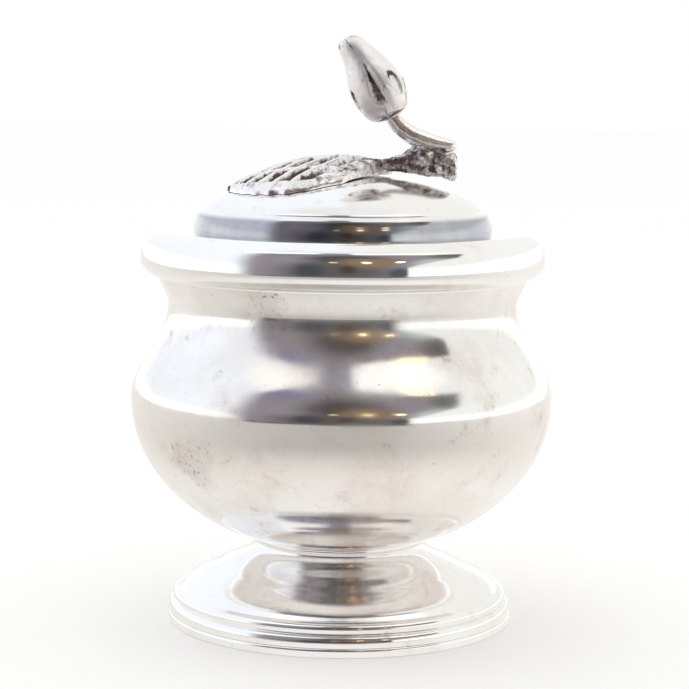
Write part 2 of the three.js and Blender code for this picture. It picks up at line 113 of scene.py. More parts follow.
# The sky is full white to the camera and in the metal, and lights the pot a little less.
world = bpy.data.worlds.new("white_sky")
bpy.context.scene.world = world
world.use_nodes = True
sky = world.node_tree.nodes["Background"]
sky.inputs["Color"].default_value = (1, 1, 1, 1)
seen = world.node_tree.nodes.new("ShaderNodeLightPath")
mirrored = world.node_tree.nodes.new("ShaderNodeMath")
mirrored.operation = "MAXIMUM"
sky_strength = world.node_tree.nodes.new("ShaderNodeMapRange")
sky_strength.inputs["To Min"].default_value = 0.92
world.node_tree.links.new(seen.outputs["Is Camera Ray"], mirrored.inputs[0])
world.node_tree.links.new(seen.outputs["Is Glossy Ray"], mirrored.inputs[1])
world.node_tree.links.new(mirrored.outputs["Value"], sky_strength.inputs["Value"])
world.node_tree.links.new(sky_strength.outputs["Result"], sky.inputs["Strength"])

belly_eye = 58 * mm
shell_radius = 2.2


def eased(value, low, high):
    """0 below low, 1 above high and a soft step between them."""
    share = min(1, max(0, (value - low) / (high - low)))
    return share * share * (3 - 2 * share)


def along_points(value, points):
    """A height read off a line through points."""
    for (start, from_height), (end, to_height) in zip(points, points[1:]):
        if value <= end:
            return from_height + (to_height - from_height) * max(0, value - start) / (end - start)
    return points[-1][1]


def covered(base, over, share):
    """One colour over another, by a share."""
    return tuple(a + (b - a) * share for a, b in zip(base, over))


# The room's upper and lower edge by turn and rise in degrees, and the soft colours inside it, each
# with its middle, its reach both ways and its tint.
room_top = [(-70, 34), (-57, 42), (-40, 50), (-20, 56), (10, 54), (36, 49), (61, 43), (79, 36.5), (84, 30)]
room_bottom = [(-60, -9), (34, -9), (36, 9), (69, 21), (79, 36), (84, 40)]
room_colours = [
    ((-40, 50), (30, 17), (0.22, 0.215, 0.34)), ((2, 28), (36, 27), (0.06, 0.05, 0.045)),
    ((-4, 4), (48, 19), (0.075, 0.068, 0.064)), ((52, 13), (20, 13), (0.50, 0.58, 0.55)),
    ((16, 20), (25, 14), (0.25, 0.16, 0.085)), ((-18, 5), (12, 14), (0.028, 0.032, 0.05)),
    ((31, 3), (9, 9), (0.05, 0.06, 0.075)), ((3.5, 7.5), (7, 7), (0.035, 0.015, 0.01)),
    ((68, 32), (20, 13), (0.13, 0.128, 0.12)),
]


def shell_colour(turn, rise):
    """Colour of the shell by degrees to the right of the front, and over the horizon."""
    wall = covered((1.02, 1.06, 1.14), (0.99, 0.99, 0.96), eased(turn, -50, 30))
    wall = covered(wall, (0.90, 0.935, 0.93), eased(rise, 60, 75))
    low_sides = eased(abs(turn + 8), 42, 50) * (1 - eased(rise, 4, 10))
    wall = covered(wall, (1.35, 1.35, 1.35), low_sides)
    over_room = eased(rise, 42, 50) * (1 - eased(rise, 62, 70)) * (1 - eased(abs(turn - 8), 70, 90))
    wall = covered(wall, (1.28, 1.27, 1.25), over_room)
    top, bottom = along_points(turn, room_top), along_points(turn, room_bottom)
    inside = eased(rise, bottom - 1, bottom + 1.5) * (1 - eased(rise, top - 2.5, top + 1))
    inside *= eased(turn, -66, -48) * (1 - eased(turn, 80, 84))
    colour = (0.27, 0.245, 0.275)
    for middle, reach, tint in room_colours:
        away = math.hypot((turn - middle[0]) / reach[0], (rise - middle[1]) / reach[1])
        colour = covered(colour, tint, 1 - eased(away, 0.3, 1))
    flue = eased(turn, -24, -13) * (1 - eased(turn, 5, 13)) * (1 - eased(rise, 64, 74)) * eased(rise, 40, 50)
    wall = covered(wall, (0.25, 0.245, 0.32), flue)
    colour = covered(wall, colour, inside)
    gleam = eased(turn, 38, 48) * (1 - eased(turn, 60, 66)) * (1 - eased(abs(rise - top), 1, 3.5))
    return covered(colour, (1.7, 1.45, 0.95), gleam)


def coloured_light(name):
    """Even light whose colour comes from the mesh."""
    material = bpy.data.materials.new(name)
    nodes, link, shader = node_links(material, "ShaderNodeEmission")
    glow = nodes.new("ShaderNodeAttribute")
    glow.attribute_name = "glow"
    link(glow.outputs["Color"], shader.inputs["Color"])
    return material


shell = bmesh.new()
bmesh.ops.create_uvsphere(shell, u_segments=300, v_segments=150, radius=shell_radius)
glow_layer = shell.verts.layers.float_color.new("glow")
for vertex in shell.verts:
    x, y, z = vertex.co
    turn = math.degrees(math.atan2(x, -y))
    rise = math.degrees(math.atan2(z, math.hypot(x, y)))
    vertex[glow_layer] = (*shell_colour(turn, rise), 1)
    vertex.co.z += belly_eye
mirrored_only(stage_piece("shell", shell, coloured_light("shell_light")))

# The sheet under the pot, as the metal mirrors it: warm, with painted shade that darkens it in
# front of the pot, and nearly black past the table's front edge.
sheet = bmesh.new()
bmesh.ops.create_grid(sheet, x_segments=180, y_segments=90, size=0.5)
sheet_glow = sheet.verts.layers.float_color.new("glow")
sheet_start = 28 * mm
table_edge = 0.56
for vertex in sheet.verts:
    turn = vertex.co.x * math.tau
    reach = sheet_start * (shell_radius / sheet_start) ** (vertex.co.y + 0.5)
    front = (0.5 + 0.5 * math.cos(turn)) ** 2
    # Painted shade: the sheet's glow drops in front of the pot.
    tone = 0.95 + 0.05 * math.sin(turn) - 0.42 * front * eased(reach, 0.06, 0.14)
    beyond = eased(reach, table_edge, table_edge + 0.06) * (1 - eased(abs(math.degrees(turn) + 8), 40, 46))
    vertex[sheet_glow] = (*covered((tone, 0.965 * tone, 0.925 * tone), (0.12, 0.115, 0.11), beyond), 1)
    vertex.co = (reach * math.sin(turn), -reach * math.cos(turn), 0.2 * mm)
bmesh.ops.remove_doubles(sheet, verts=sheet.verts[:], dist=0.001 * mm)
mirrored_only(stage_piece("sheet", sheet, coloured_light("sheet_light")))


def from_pot(turn, rise, distance):
    """A point at a distance from the belly, by its turn and rise in degrees."""
    turn, rise = math.radians(turn), math.radians(rise)
    return Vector((distance * math.cos(rise) * math.sin(turn),
                   -distance * math.cos(rise) * math.cos(turn),
                   belly_eye + distance * math.sin(rise)))


def soft_light(name, place, width, height, power, colour=(1, 1, 1)):
    """A flat soft light that faces the belly."""
    data = bpy.data.lights.new(name, "AREA")
    data.shape = "ELLIPSE"
    data.size = width
    data.size_y = height
    data.energy = power
    data.color = colour
    light = bpy.data.objects.new(name, data)
    light.location = place
    light.rotation_mode = "QUATERNION"
    light.rotation_quaternion = (Vector((0, 0, belly_eye)) - place).to_track_quat("-Z", "Y")
    bpy.context.scene.collection.objects.link(light)
    return light


lamp_rise = 17.5
lamp_distance = 1.9
lamp_width = 0.16
lamp_height = 0.06
lamp_colour = (1, 0.80, 0.47)
room_lamps = [("lamp_left", -4.5, 0.03), ("lamp_middle", 14, 0.16), ("lamp_right", 32, 0.13)]
for lamp_name, lamp_turn, lamp_power in room_lamps:
    lamp_place = from_pot(lamp_turn, lamp_rise, lamp_distance)
    soft_light(lamp_name, lamp_place, lamp_width, lamp_height, lamp_power, lamp_colour)

# A wide white light overhead brightens all that faces up, and isn't mirrored.
overhead_place = Vector((-0.3, 0.2, 1.1))
overhead_width = 0.8
overhead_power = 0.8
overhead = soft_light("overhead", overhead_place, overhead_width, overhead_width, overhead_power)
overhead.visible_glossy = False


# Foot ring: a heavy wire with a flat underside, soldered under the foot's edge, on which the pot
# stands. Here the finish of the whole pot is made too: silver plate that polishing has left
# bright, with a warm tarnish in clouds, brown stains and fine dark pits.
def cloud(nodes, link, place, scale, detail, roughness, low, high, least=0.0, most=1.0):
    """A noise over a place, stretched so that low to high becomes least to most."""
    texture = nodes.new("ShaderNodeTexNoise")
    texture.inputs["Scale"].default_value = scale
    texture.inputs["Detail"].default_value = detail
    texture.inputs["Roughness"].default_value = roughness
    link(place, texture.inputs["Vector"])
    return stretched(nodes, link, texture.outputs["Fac"], low, high, least, most)


def stretched(nodes, link, value, low, high, to_low=0.0, to_high=1.0):
    """A value eased from one range to another."""
    stretch = nodes.new("ShaderNodeMapRange")
    stretch.interpolation_type = "SMOOTHSTEP"
    stretch.inputs["From Min"].default_value = low
    stretch.inputs["From Max"].default_value = high
    stretch.inputs["To Min"].default_value = to_low
    stretch.inputs["To Max"].default_value = to_high
    link(value, stretch.inputs["Value"])
    return stretch.outputs["Result"]


def blended(nodes, link, share, base, over):
    """Base covered by over, by a share. Both are colours or sockets."""
    mix = nodes.new("ShaderNodeMix")
    mix.data_type = "RGBA"
    link(share, mix.inputs["Factor"])
    for socket, colour in ((mix.inputs["A"], base), (mix.inputs["B"], over)):
        if isinstance(colour, tuple):
            socket.default_value = (*colour, 1)
        else:
            link(colour, socket)
    return mix.outputs["Result"]


def worked(nodes, link, operation, first, second):
    """Two values put together, of which the second may be a number."""
    result = nodes.new("ShaderNodeMath")
    result.operation = operation
    link(first, result.inputs[0])
    if isinstance(second, (int, float)):
        result.inputs[1].default_value = second
    else:
        link(second, result.inputs[1])
    return result.outputs["Value"]


def patch(nodes, link, place, middle, reach):
    """1 at a spot on the metal and 0 beyond its reach, with a ragged edge."""
    distance = nodes.new("ShaderNodeVectorMath")
    distance.operation = "DISTANCE"
    link(place, distance.inputs[0])
    distance.inputs[1].default_value = middle
    ragged = worked(nodes, link, "MULTIPLY", cloud(nodes, link, place, 120, 5, 0.6, 0.3, 0.7), 0.8 * reach)
    ragged = worked(nodes, link, "ADD", distance.outputs["Value"], ragged)
    return stretched(nodes, link, ragged, 1.3 * reach, 0.5 * reach)


def worn_silver(name, tarnish, stains, pits, spots=(), low_warmth=0.0, grey_below=0.0,
                haze_least=0.08, haze_most=0.2):
    """Silver plate. The amounts say how much of it each kind of wear covers; the spots are worn
    hardest, low warmth is a warmer, darker band round the lower belly of the bowl, and below one
    height the metal is coloured grey. The haze is the roughness of the clearest and the dullest metal."""
    material = bpy.data.materials.new(name)
    nodes, link, shader = node_links(material, "ShaderNodeBsdfPrincipled")
    shader.inputs["Metallic"].default_value = 0.95
    place = nodes.new("ShaderNodeTexCoord").outputs["Object"]
    split = nodes.new("ShaderNodeSeparateXYZ")
    link(place, split.inputs["Vector"])
    height = split.outputs["Z"]
    warm = worked(nodes, link, "MULTIPLY", cloud(nodes, link, place, 34, 5, 0.62, 0.34, 0.66), tarnish)
    if low_warmth:
        rise = stretched(nodes, link, height, 27 * mm, 42 * mm)
        fall = stretched(nodes, link, height, 56 * mm, 44 * mm)
        low = worked(nodes, link, "MULTIPLY", worked(nodes, link, "MULTIPLY", rise, fall), low_warmth)
        warm = worked(nodes, link, "MAXIMUM", warm, low)
    pink = worked(nodes, link, "MULTIPLY", cloud(nodes, link, place, 80, 6, 0.68, 0.5, 0.72), tarnish)
    brown = worked(nodes, link, "MULTIPLY", cloud(nodes, link, place, 160, 7, 0.7, 0.62, 0.72), stains)
    pit = worked(nodes, link, "MULTIPLY", cloud(nodes, link, place, 1000, 3, 0.55, 0.69, 0.74), pits)
    for middle, reach in spots:
        spot = patch(nodes, link, place, middle, reach)
        speckle = cloud(nodes, link, place, 760, 5, 0.7, 0.56, 0.68)
        pit = worked(nodes, link, "MAXIMUM", pit, worked(nodes, link, "MULTIPLY", spot, speckle))
        brown = worked(nodes, link, "MAXIMUM", brown, worked(nodes, link, "MULTIPLY", spot, 0.22))
    colour = blended(nodes, link, warm, (0.93, 0.93, 0.925), (0.81, 0.765, 0.72))
    colour = blended(nodes, link, pink, colour, (0.75, 0.67, 0.65))
    if grey_below:
        grey = stretched(nodes, link, height, grey_below, grey_below - 1.2 * mm)
        grey = worked(nodes, link, "MULTIPLY", grey, cloud(nodes, link, place, 90, 4, 0.6, 0.25, 0.6, 0.8, 1))
        colour = blended(nodes, link, grey, colour, (0.40, 0.41, 0.445))
    colour = blended(nodes, link, brown, colour, (0.40, 0.34, 0.30))
    colour = blended(nodes, link, pit, colour, (0.16, 0.14, 0.13))
    link(colour, shader.inputs["Base Color"])
    haze = cloud(nodes, link, place, 60, 6, 0.66, 0.3, 0.7)
    haze = worked(nodes, link, "MAXIMUM", haze, worked(nodes, link, "MULTIPLY", brown, 1.6))
    link(stretched(nodes, link, haze, 0, 1, haze_least, haze_most), shader.inputs["Roughness"])
    ripple = nodes.new("ShaderNodeBump")
    ripple.inputs["Strength"].default_value = 0.5
    ripple.inputs["Distance"].default_value = 0.9 * mm
    link(cloud(nodes, link, place, 26, 2, 0.4, 0, 1), ripple.inputs["Height"])
    bump = nodes.new("ShaderNodeBump")
    bump.inputs["Strength"].default_value = 0.25
    bump.inputs["Distance"].default_value = 0.05 * mm
    bump.invert = True
    link(pit, bump.inputs["Height"])
    link(ripple.outputs["Normal"], bump.inputs["Normal"])
    link(bump.outputs["Normal"], shader.inputs["Normal"])
    return material


def curve(start, start_handle, end_handle, end, steps=14):
    """Points along a curve, without its start, as radius and height."""
    return [tuple(point) for point in interpolate_bezier(start, start_handle, end_handle, end, steps + 1)[1:]]


def corner(start, through, end, steps=8):
    """A rounded corner that heads for one point on its way."""
    towards = [tuple(a + (b - a) * 2 / 3 for a, b in zip(side, through)) for side in (start, end)]
    return curve(start, towards[0], towards[1], end, steps)


def turned(outline, steps=256):
    """A closed outline, radius against height, spun about the upright axis."""
    bm = bmesh.new()
    points = [bm.verts.new((radius, 0, height)) for radius, height in outline]
    for point, following in zip(points, points[1:] + points[:1]):
        if point.co.x > 0 or following.co.x > 0:
            bm.edges.new((point, following))
    bmesh.ops.spin(bm, geom=bm.verts[:] + bm.edges[:], cent=(0, 0, 0), axis=(0, 0, 1),
                   angle=math.tau, steps=steps, use_merge=True)
    bmesh.ops.remove_doubles(bm, verts=bm.verts[:], dist=0.001 * mm)
    bmesh.ops.recalc_face_normals(bm, faces=bm.faces[:])
    return bm


def finished(name, bm, material, body, node=None, crease=32):
    """A bmesh as a piece on a body, smooth but for edges sharper than the crease angle."""
    for face in bm.faces:
        face.smooth = True
    for edge in bm.edges:
        edge.smooth = not edge.is_manifold or edge.calc_face_angle() < math.radians(crease)
    mesh = bpy.data.meshes.new(name)
    bm.to_mesh(mesh)
    bm.free()
    mesh.materials.append(material)
    piece = bpy.data.objects.new(name, mesh)
    bpy.context.scene.collection.objects.link(piece)
    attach(piece, body)
    if node:
        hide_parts(node)


foot_silver = worn_silver("silver_foot", tarnish=0.35, stains=0.3, pits=0.2, haze_least=0.05, haze_most=0.12)
wire_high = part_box("foot_wire")[1]
wire_radius, wire_top = wire_high.x, wire_high.z
wire_inner = wire_radius - 3.4 * mm
wire_rounding = 0.75 * mm
finished("foot_wire_turned", turned(
    [(wire_inner, 0), (wire_radius - wire_rounding, 0)]
    + corner((wire_radius - wire_rounding, 0), (wire_radius, 0), (wire_radius, wire_rounding))
    + [(wire_radius, wire_top - wire_rounding)]
    + corner((wire_radius, wire_top - wire_rounding), (wire_radius, wire_top),
             (wire_radius - wire_rounding, wire_top))
    + [(wire_inner, wire_top)]), foot_silver, "pot", "foot_wire")


# Foot: spun from one sheet, with two half-round steps over the wire and then a flare that turns
# from hollow to full on its way out. It is open underneath.
foot_low, foot_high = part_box("foot_shell")
foot_radius, foot_base, foot_top = foot_high.x, foot_low.z, foot_high.z
foot_wall = 1.0 * mm
foot_neck = 18.6 * mm
step_low_top = foot_base + 2.4 * mm
step_high_top = step_low_top + 2.5 * mm
step_low_inset = foot_radius - 0.9 * mm
step_high_inset = step_low_inset - 1.9 * mm
turn_radius = 27 * mm
turn_height = foot_base + 9.4 * mm
flare_span = step_high_inset - turn_radius
neck_span = turn_radius - foot_neck
finished("foot_shell_turned", turned(
    [(foot_radius - foot_wall, foot_base), (foot_radius, foot_base)]
    + curve((foot_radius, foot_base), (foot_radius, step_low_top - 0.4 * mm),
            (step_low_inset + 0.5 * mm, step_low_top), (step_low_inset - 0.3 * mm, step_low_top))
    + curve((step_low_inset - 0.3 * mm, step_low_top),
            (step_low_inset + 0.5 * mm, step_high_top - 0.9 * mm),
            (step_low_inset - 0.4 * mm, step_high_top), (step_high_inset, step_high_top))
    + [(step_high_inset - 0.3 * mm, step_high_top + 0.3 * mm)]
    + curve((step_high_inset - 0.3 * mm, step_high_top + 0.3 * mm),
            (step_high_inset - 0.2 * flare_span, step_high_top + 1.9 * mm),
            (turn_radius + 0.45 * flare_span, turn_height - 1.5 * mm), (turn_radius, turn_height))
    + curve((turn_radius, turn_height), (turn_radius - 0.4 * neck_span, turn_height + 2.1 * mm),
            (foot_neck + 1 * mm, foot_top - 3 * mm), (foot_neck, foot_top), 28)
    + [(foot_neck - foot_wall, foot_top)]
    + curve((foot_neck - foot_wall, foot_top), (foot_neck - foot_wall, foot_top - 2.7 * mm),
            (turn_radius - 0.55 * neck_span, turn_height + 0.8 * mm),
            (turn_radius - 0.4 * foot_wall, turn_height - foot_wall))
    + curve((turn_radius - 0.4 * foot_wall, turn_height - foot_wall),
            (turn_radius + 0.4 * flare_span, turn_height - 2.4 * mm),
            (step_high_inset - 0.35 * flare_span, step_high_top + 0.9 * mm),
            (step_high_inset - foot_wall, step_high_top - 0.8 * mm))
    + [(step_low_inset - foot_wall, step_low_top - 0.9 * mm)]),
    foot_silver, "pot", "foot_shell")


# Collar: a ring turned from the solid, half-round outside and bored through. It is soldered to the
# foot's neck below and to the bowl above.
collar_low, collar_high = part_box("foot_collar")
collar_radius, collar_base, collar_top = collar_high.x, collar_low.z, collar_high.z
collar_bore = 17 * mm
collar_edge = 0.35 * mm
finished("foot_collar_turned", turned(
    [(collar_bore, collar_base), (collar_radius - 2 * collar_edge, collar_base),
     (collar_radius - 2 * collar_edge, collar_base + collar_edge)]
    + corner((collar_radius - 2 * collar_edge, collar_base + collar_edge),
             (collar_radius + 1.5 * collar_edge, (collar_base + collar_top + collar_edge) / 2),
             (collar_radius - collar_edge, collar_top))
    + [(collar_bore, collar_top)]), foot_silver, "pot", "foot_collar")


# Bowl: raised from one disc on the lathe, full in the belly, drawn in at the waist and flared to
# the mouth. It has the most tarnish, a warmer, darker band round its lower belly, and spots of pitting.
body_low, body_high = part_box("body_shell")
belly_radius, bowl_base, rim_base = 45.8 * mm, body_low.z, body_high.z
bowl_wall = 1.0 * mm
seat_radius = 20 * mm
belly_height = bowl_base + 30.1 * mm
waist_radius = 37.8 * mm
waist_height = bowl_base + 50.75 * mm
mouth_flare = 40 * mm


def bowl_curves(inset):
    """The three curves of the bowl's face, or of its inside a wall further in."""
    base = bowl_base + inset
    belly, waist, mouth = belly_radius - inset, waist_radius - inset, mouth_flare - inset
    below, between, above = belly_height - base, waist_height - belly_height, rim_base - waist_height
    return [
        ((seat_radius, base), (seat_radius + 0.14 * (belly - seat_radius), base),
         (belly, belly_height - 0.69 * below), (belly, belly_height)),
        ((belly, belly_height), (belly, belly_height + 0.36 * between),
         (waist, waist_height - 0.43 * between), (waist, waist_height)),
        ((waist, waist_height), (waist, waist_height + 0.17 * above),
         (mouth - 0.32 * (mouth - waist), rim_base - 0.32 * above), (mouth, rim_base)),
    ]


outside = [point for part in bowl_curves(0) for point in curve(*part, steps=40)]
inside = [point for part in reversed(bowl_curves(bowl_wall)) for point in curve(*reversed(part), steps=24)]
bowl_spots = [
    ((-15 * mm, -35.5 * mm, 73 * mm), 9 * mm), ((-26 * mm, -35 * mm, 58.5 * mm), 2.5 * mm),
    ((32 * mm, -28 * mm, 59.5 * mm), 4 * mm), ((35 * mm, -15.6 * mm, 68.4 * mm), 3 * mm),
    ((-30 * mm, -31 * mm, 38.4 * mm), 8 * mm), ((-22 * mm, -37 * mm, 33 * mm), 4 * mm),
]
bowl_silver = worn_silver("silver_bowl", tarnish=0.8, stains=0.5, pits=0.35, spots=bowl_spots, low_warmth=0.6)
finished("body_shell_turned", turned(
    [(0, bowl_base), (seat_radius, bowl_base)] + outside
    + [(mouth_flare - bowl_wall, rim_base)] + inside + [(0, bowl_base + bowl_wall)]),
    bowl_silver, "pot", "body_shell")


# Rim: a hollow moulding soldered round the mouth. Its face leans in on the way up, its underside
# rounds in to the bowl, and its top rounds over to the flat land on which the lid sits.
rim_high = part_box("rim_band")[1]
rim_radius, land_height = rim_high.x, rim_high.z
rim_wall = 1.0 * mm
rim_opening = 31 * mm
rim_lip = mouth_flare + 0.4 * mm
rim_widest = rim_base + 3.5 * mm
face_top = (rim_radius - 0.55 * mm, rim_base + 7.6 * mm)
top_edge = (rim_radius - 1.5 * mm, land_height - 1.3 * mm)
land_edge = rim_opening + 2.6 * mm
rim_silver = worn_silver("silver_rim", tarnish=0.3, stains=0.25, pits=0.2, haze_least=0.05, haze_most=0.12)
finished("rim_band_turned", turned(
    [(mouth_flare - bowl_wall, rim_base), (rim_lip - 0.2 * mm, rim_base), (rim_lip, rim_base + 0.3 * mm)]
    + curve((rim_lip, rim_base + 0.3 * mm), (rim_radius - 1.9 * mm, rim_base + 0.7 * mm),
            (rim_radius - 0.5 * mm, rim_widest - 1.2 * mm), (rim_radius - 0.1 * mm, rim_widest - 0.35 * mm))
    + curve((rim_radius - 0.1 * mm, rim_widest - 0.35 * mm), (rim_radius, rim_widest - 0.1 * mm),
            (rim_radius, rim_widest), (rim_radius, rim_widest + 0.2 * mm), 6)
    + curve((rim_radius, rim_widest + 0.2 * mm), (rim_radius - 0.05 * mm, rim_widest + 1.8 * mm),
            (face_top[0] + 0.25 * mm, face_top[1] - 0.7 * mm), face_top)
    + curve(face_top, (face_top[0] - 0.15 * mm, face_top[1] + 0.4 * mm),
            (top_edge[0] + 0.6 * mm, top_edge[1] - 0.25 * mm), top_edge)
    + curve(top_edge, (top_edge[0] - 1.2 * mm, top_edge[1] + 0.65 * mm),
            (top_edge[0] - 2.2 * mm, land_height - 0.1 * mm), (top_edge[0] - 3.3 * mm, land_height), 24)
    + [(rim_opening, land_height),
       (rim_opening, land_height - rim_wall), (land_edge, land_height - rim_wall),
       (rim_radius - 2.1 * mm, top_edge[1] - rim_wall), (rim_radius - 1.2 * mm, face_top[1] - rim_wall),
       (rim_radius - rim_wall, rim_widest)]
    + corner((rim_radius - rim_wall, rim_widest), (rim_radius - 1.3 * mm, rim_widest - 1.8 * mm),
             (mouth_flare - 0.1 * mm, rim_base + 1.4 * mm))
    + [(mouth_flare - bowl_wall, rim_base + 1.3 * mm)]), rim_silver, "pot", "rim_band")


# Mouth collar: a tube soldered into the rim's opening, which guides the lid, with a flange
# against the rim's underside.
tube_low, tube_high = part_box("mouth_collar")
mouth_radius = 30 * mm
flange_radius, tube_base = tube_high.x, tube_low.z
flange_top = land_height - rim_wall
flange_base = flange_top - 1 * mm
mouth_bevel = 0.3 * mm
finished("mouth_collar_turned", turned([
    (mouth_radius, tube_base), (rim_opening, tube_base), (rim_opening, flange_base),
    (flange_radius, flange_base), (flange_radius, flange_top), (rim_opening, flange_top),
    (rim_opening, land_height), (mouth_radius + mouth_bevel, land_height),
    (mouth_radius, land_height - mouth_bevel)]), rim_silver, "pot", "mouth_collar")


# Lid: spun with a short band that leans in to a rounded shoulder, a crease and then a low dome
# with a hole in the middle for the finial's stud. The band is coloured a darker blue-grey.
lid_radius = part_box("lid_shell")[1].x
lid_wall = 1.0 * mm
band_lean = 0.27 * mm
band_top = land_height + 2.5 * mm
crease_height = band_top + 2.1 * mm
dome_radius = lid_radius - 2.1 * mm
dome_rise = 7.8 * mm
dome_fullness = 0.68
shoulder_radius = dome_radius + 0.4 * mm
stud_hole = 1.8 * mm
washer_seat = 5.2 * mm


def dome_height(radius, inset=0):
    """Height of the dome at a distance from its axis, or of its inside a wall further in. It is
    flatter at its foot than an ellipse."""
    share = min(1.0, radius / (dome_radius - inset))
    return crease_height - inset + dome_rise * (1 - share ** 2) ** dome_fullness


def dome_points(inset, smallest, steps=44):
    """Points up the dome from its foot, as far in as the smallest radius."""
    widest = dome_radius - inset
    last = math.acos(smallest / widest)
    radii = [widest * math.cos(last * step / steps) for step in range(steps + 1)]
    return [(radius, dome_height(radius, inset)) for radius in radii]


washer_top = dome_height(washer_seat, lid_wall)
lid_silver = worn_silver("silver_lid", tarnish=0.35, stains=0.3, pits=0.25,
                         grey_below=crease_height - 0.2 * mm, haze_least=0.07, haze_most=0.15)
finished("lid_shell_turned", turned(
    [(lid_radius - lid_wall, land_height), (lid_radius, land_height)]
    + curve((lid_radius, land_height), (lid_radius, land_height + 0.9 * mm),
            (lid_radius - band_lean / 2, band_top - 0.6 * mm), (lid_radius - band_lean, band_top))
    + curve((lid_radius - band_lean, band_top), (lid_radius - 1.6 * band_lean, band_top + 0.9 * mm),
            (lid_radius - 0.7 * mm, crease_height - 0.15 * mm), (shoulder_radius, crease_height), 20)
    + dome_points(0, stud_hole) + [(stud_hole, washer_top)] + dome_points(lid_wall, washer_seat)[::-1]
    + [(dome_radius - lid_wall / 2, crease_height - lid_wall), (lid_radius - lid_wall, band_top)]),
    lid_silver, "lid", "lid_shell")


# Bezel: a ring soldered inside the lid's band. Its tube drops into the mouth collar, so that the
# lid can't slide off.
bezel_low, bezel_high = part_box("lid_bezel")
bezel_base, bezel_top, bezel_flange = bezel_low.z, bezel_high.z, bezel_high.x
bezel_clearance = 0.35 * mm
bezel_wall = 0.8 * mm
bezel_outer = mouth_radius - bezel_clearance
bezel_inner = bezel_outer - bezel_wall
finished("lid_bezel_turned", turned([
    (bezel_inner, bezel_base), (bezel_outer - 0.3 * mm, bezel_base),
    (bezel_outer, bezel_base + 0.5 * mm), (bezel_outer, bezel_top - bezel_wall),
    (bezel_flange, bezel_top - bezel_wall), (bezel_flange, bezel_top), (bezel_inner, bezel_top)]),
    lid_silver, "lid", "lid_bezel")


# Leaf: cast in one piece with its stalk, and lying over the dome. Narrow ribs stand on its side
# veins, with a cross rib and deep dark pockets between them, and its edge is thin and scalloped.
# The finish of all the cast pieces is made here too.
leaf_gap = 0.3 * mm
leaf_base = 10.4 * mm
leaf_length = 34.9 * mm
leaf_reach = 24.6 * mm
leaf_crest = 2.9 * mm
leaf_edge = 1.0 * mm
leaf_sway = 1.5 * mm
vein_count = 8
vein_spread_at_base = 57
vein_spread_at_tip = 42
rib_height = 0.85 * mm
pocket_depth = 0.62 * mm
bark_start = 9.3 * mm


def aged_cast(name, tarnish, dullness):
    """Cast silver: bright where it is rubbed, and dark brown with patina in its recesses and with
    painted shade where the mesh carries it. The mesh says how deep each point lies, and how much
    painted shade it carries, and the dullness is the roughness of the clean metal."""
    material = bpy.data.materials.new(name)
    nodes, link, shader = node_links(material, "ShaderNodeBsdfPrincipled")
    shader.inputs["Metallic"].default_value = 0.94
    place = nodes.new("ShaderNodeTexCoord").outputs["Object"]
    patina_and_shade = nodes.new("ShaderNodeAttribute")
    patina_and_shade.attribute_name = "patina_and_shade"
    # Patina and painted shade: dark brown where the mesh's value and a fine noise are high.
    patina_and_shade_share = cloud(nodes, link, place, 380, 5, 0.65, 0.3, 0.75)
    patina_and_shade_share = worked(nodes, link, "ADD", patina_and_shade_share, patina_and_shade.outputs["Fac"])
    patina_and_shade_share = stretched(nodes, link, patina_and_shade_share, 0.75, 1.45)
    dull = worked(nodes, link, "MULTIPLY", cloud(nodes, link, place, 130, 5, 0.6, 0.35, 0.65), tarnish)
    colour = blended(nodes, link, dull, (0.93, 0.915, 0.91), (0.79, 0.735, 0.715))
    colour = blended(nodes, link, patina_and_shade_share, colour, (0.125, 0.085, 0.08))
    link(colour, shader.inputs["Base Color"])
    link(stretched(nodes, link, patina_and_shade_share, 0, 1, dullness, 0.45), shader.inputs["Roughness"])
    bump = nodes.new("ShaderNodeBump")
    bump.inputs["Strength"].default_value = 0.4
    bump.inputs["Distance"].default_value = 0.25 * mm
    link(cloud(nodes, link, place, 700, 5, 0.6, 0, 1), bump.inputs["Height"])
    link(bump.outputs["Normal"], shader.inputs["Normal"])
    return material


def vein_reach(share):
    """How far a side vein reaches from the midrib, at a share of the leaf's length."""
    widest = 0.2
    if share < widest:
        return leaf_reach * (1 - 0.22 * ((widest - share) / widest) ** 2)
    return max(0.7 * mm, leaf_reach * (1 - ((share - widest) / (1 - widest)) ** 1.6))


def leaf_relief(share, across):
    """Thickness of the leaf, and how deep in a pocket it is there, from 0 to 1."""
    towards_tip = max(0, (share - 0.3) / 0.7) ** 2.6
    crest = leaf_edge + (leaf_crest - leaf_edge) * (1 - towards_tip)
    arch = leaf_edge + (crest - leaf_edge) * (1 - across) ** 1.3
    thinning = 1 - 0.55 * towards_tip
    vein = eased(0.5 + 0.5 * math.cos(math.tau * vein_count * share), 0.45, 0.95)
    cross = 0.85 * (1 - eased(abs(across - 0.5), 0.03, 0.09))
    margin = 0.8 * eased(across, 0.82, 0.89)
    rib = max(vein, cross, margin, 1 - eased(across, 0.02, 0.08))
    rib += (0.6 - rib) * (1 - eased(share, 0.1, 0.25))
    rounding = 1 - 0.55 * eased(across, 0.93, 1.0)
    return (arch + rib_height * rib - pocket_depth * (1 - rib)) * thinning * rounding, (1 - rib) ** 0.8


